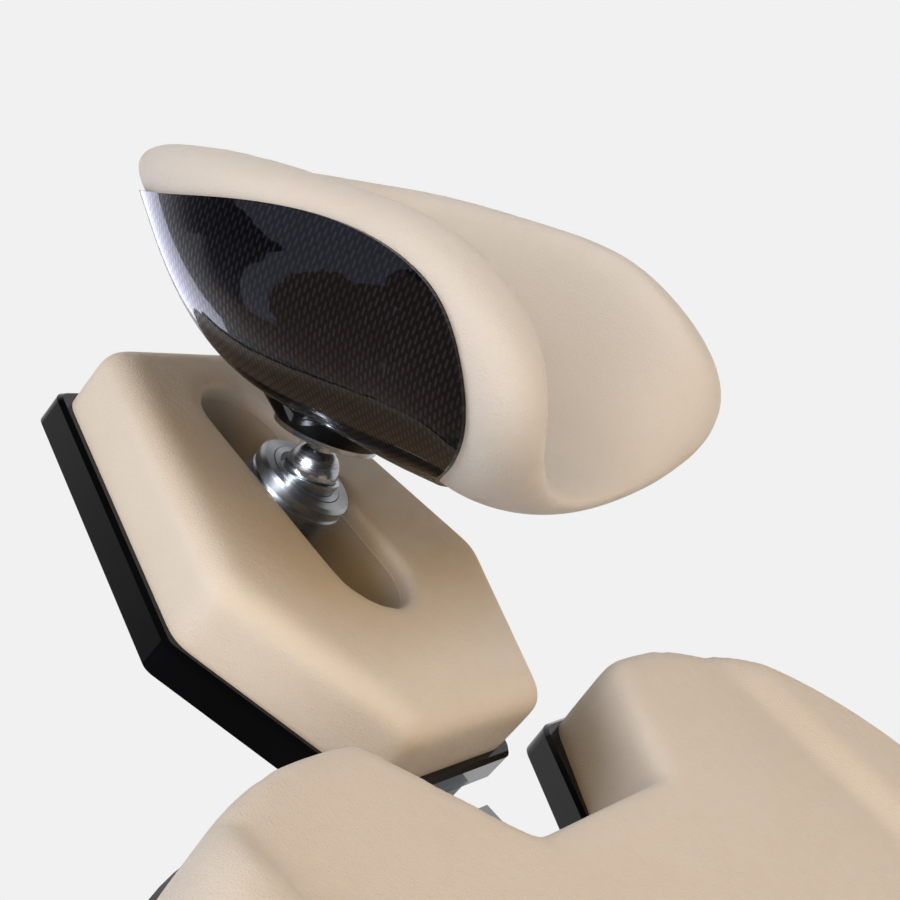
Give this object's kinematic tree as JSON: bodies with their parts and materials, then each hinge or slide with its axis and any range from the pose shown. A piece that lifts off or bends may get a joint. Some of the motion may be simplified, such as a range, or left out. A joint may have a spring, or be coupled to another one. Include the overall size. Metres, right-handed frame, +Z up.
{
  "type": "ophthalmic surgery table",
  "caption": "Wheeled ophthalmic surgery table with lift column, reclining upholstered sections, and a carbon-shell headrest on a ball joint in a sliding head plate.",
  "frame": {"origin": "on the floor, under the middle of the outline seen from above", "axes": "+X to the patient's left, +Y towards the head end, +Z up"},
  "size_m": [0.678, 1.6832, 1.1865],
  "materials": {
    "upholstery": "beige upholstery, fine grain",
    "headrest_leather": "ivory upholstery, fine grain",
    "tray_lacquer": "black gloss",
    "carbon_lacquer": "clear-coated woven carbon",
    "polished_steel": "polished",
    "brushed_steel": "fine brushed",
    "frame_paint": "grey powder coat",
    "column_aluminium": "anodised",
    "cover_plastic": "off-white, fine texture",
    "drive_housing": "grey",
    "dark_plastic": "black",
    "bush_brass": "turned",
    "pedal_paint": "black powder coat",
    "tyre": "grey-black"
  },
  "bodies": {
    "chassis": {"base_frame": "frame_paint", "cover_skirt": "cover_plastic", "cover_lid": "cover_plastic", "mains_inlet": "dark_plastic", "column_outer": "frame_paint", "column_glides": "dark_plastic", "lift_drive": "column_aluminium"},
    "brake": {"brake_pedal": "pedal_paint"},
    "lift": {"column_inner": "column_aluminium", "column_head": "frame_paint", "lift_screw": "brushed_steel"},
    "seat": {"seat_frame": "frame_paint", "tilt_shaft": "brushed_steel", "seat_tray": "tray_lacquer", "seat_cushion": "upholstery", "side_rail_left": "brushed_steel", "side_rail_right": "brushed_steel", "back_drive_left": "drive_housing", "back_drive_right": "drive_housing", "leg_drive": "drive_housing"},
    "backrest": {"back_frame": "frame_paint", "back_pin_left": "brushed_steel", "back_pin_right": "brushed_steel", "back_tray": "tray_lacquer", "back_cushion": "upholstery", "guide_block": "frame_paint", "guide_bushes": "bush_brass"},
    "slide_lock": {"slide_lock_lever": "dark_plastic"},
    "head_slide": {"guide_rod_left": "brushed_steel", "guide_rod_right": "brushed_steel", "head_yoke": "frame_paint"},
    "head_plate": {"head_tray": "tray_lacquer", "head_cushion": "upholstery", "slot_track": "brushed_steel", "head_bracket": "frame_paint", "head_hinge_pin": "brushed_steel"},
    "carriage": {"socket_body": "brushed_steel", "socket_ring": "brushed_steel"},
    "knob": {"clamp_knob": "dark_plastic"},
    "liner": {"ball_liner": "brushed_steel"},
    "stem": {"ball_stem": "polished_steel"},
    "headrest": {"headrest_shell": "carbon_lacquer", "headrest_pad": "headrest_leather"},
    "leg": {"leg_frame": "frame_paint", "leg_shaft": "brushed_steel", "leg_tray": "tray_lacquer", "leg_cushion": "upholstery"},
    "castor_foot_right": {"castor_fork_foot_right": "polished_steel"},
    "wheel_foot_right": {"castor_wheel_foot_right": "dark_plastic", "castor_tyre_foot_right": "tyre"},
    "castor_foot_left": {"castor_fork_foot_left": "polished_steel"},
    "wheel_foot_left": {"castor_wheel_foot_left": "dark_plastic", "castor_tyre_foot_left": "tyre"},
    "castor_head_right": {"castor_fork_head_right": "polished_steel"},
    "wheel_head_right": {"castor_wheel_head_right": "dark_plastic", "castor_tyre_head_right": "tyre"},
    "castor_head_left": {"castor_fork_head_left": "polished_steel"},
    "wheel_head_left": {"castor_wheel_head_left": "dark_plastic", "castor_tyre_head_left": "tyre"}
  },
  "joints": [
    {"name": "lift", "type": "slide", "parent": "chassis", "child": "lift", "axis": [0, 0, 1], "range_m": [0, 0.18]},
    {"name": "seat_tilt", "type": "hinge", "parent": "lift", "child": "seat", "pos_m": [0, 0.02598, 0.458], "axis": [1, 0, 0], "range_deg": [-8, 8]},
    {"name": "back_hinge", "type": "hinge", "parent": "seat", "child": "backrest", "pos_m": [0, 0.18264, 0.532], "axis": [1, 0, 0], "range_deg": [-40, 26]},
    {"name": "leg_hinge", "type": "hinge", "parent": "seat", "child": "leg", "pos_m": [0, -0.29536, 0.486], "axis": [1, 0, 0], "range_deg": [-20, 20]},
    {"name": "slide_lock", "type": "hinge", "parent": "backrest", "child": "slide_lock", "pos_m": [0, 0.61361, 0.78848], "axis": [0, -0.6428, 0.766], "range_deg": [-60, 60]},
    {"name": "head_slide", "type": "slide", "parent": "backrest", "child": "head_slide", "axis": [0, 0.766, 0.6428], "range_m": [-0.03, 0.05]},
    {"name": "head_tilt", "type": "hinge", "parent": "head_slide", "child": "head_plate", "pos_m": [0, 0.68855, 0.89907], "axis": [1, 0, 0], "range_deg": [-30, 25]},
    {"name": "socket_slide", "type": "slide", "parent": "head_plate", "child": "carriage", "axis": [0, 0.7157, 0.6984], "range_m": [-0.047, 0.035]},
    {"name": "knob_turn", "type": "hinge", "parent": "carriage", "child": "knob", "pos_m": [0, 0.7736, 1.00163], "axis": [0, -0.6984, 0.7157], "range_deg": [-180, 180]},
    {"name": "ball_nod", "type": "hinge", "parent": "carriage", "child": "liner", "pos_m": [0, 0.73226, 1.044], "axis": [1, 0, 0], "range_deg": [-15, 20]},
    {"name": "ball_side", "type": "hinge", "parent": "liner", "child": "stem", "pos_m": [0, 0.73226, 1.044], "axis": [0, 0.9003, 0.4352], "range_deg": [-12, 12]},
    {"name": "headrest_turn", "type": "hinge", "parent": "stem", "child": "headrest", "pos_m": [0, 0.72369, 1.06174], "axis": [0, -0.4352, 0.9003], "range_deg": [-30, 30]},
    {"name": "brake", "type": "hinge", "parent": "chassis", "child": "brake", "pos_m": [0, -0.45403, 0.0923], "axis": [1, 0, 0], "range_deg": [-12, 12]},
    {"name": "swivel_foot_right", "type": "hinge", "parent": "chassis", "child": "castor_foot_right", "pos_m": [-0.225, -0.35902, 0.112], "axis": [0, 0, 1], "continuous": true},
    {"name": "roll_foot_right", "type": "hinge", "parent": "castor_foot_right", "child": "wheel_foot_right", "pos_m": [-0.225, -0.39103, 0.05], "axis": [1, 0, 0], "continuous": true},
    {"name": "swivel_foot_left", "type": "hinge", "parent": "chassis", "child": "castor_foot_left", "pos_m": [0.225, -0.35902, 0.112], "axis": [0, 0, 1], "continuous": true},
    {"name": "roll_foot_left", "type": "hinge", "parent": "castor_foot_left", "child": "wheel_foot_left", "pos_m": [0.225, -0.39103, 0.05], "axis": [1, 0, 0], "continuous": true},
    {"name": "swivel_head_right", "type": "hinge", "parent": "chassis", "child": "castor_head_right", "pos_m": [-0.225, 0.41097, 0.112], "axis": [0, 0, 1], "continuous": true},
    {"name": "roll_head_right", "type": "hinge", "parent": "castor_head_right", "child": "wheel_head_right", "pos_m": [-0.225, 0.37898, 0.05], "axis": [1, 0, 0], "continuous": true},
    {"name": "swivel_head_left", "type": "hinge", "parent": "chassis", "child": "castor_head_left", "pos_m": [0.225, 0.41097, 0.112], "axis": [0, 0, 1], "continuous": true},
    {"name": "roll_head_left", "type": "hinge", "parent": "castor_head_left", "child": "wheel_head_left", "pos_m": [0.225, 0.37898, 0.05], "axis": [1, 0, 0], "continuous": true}
  ]
}
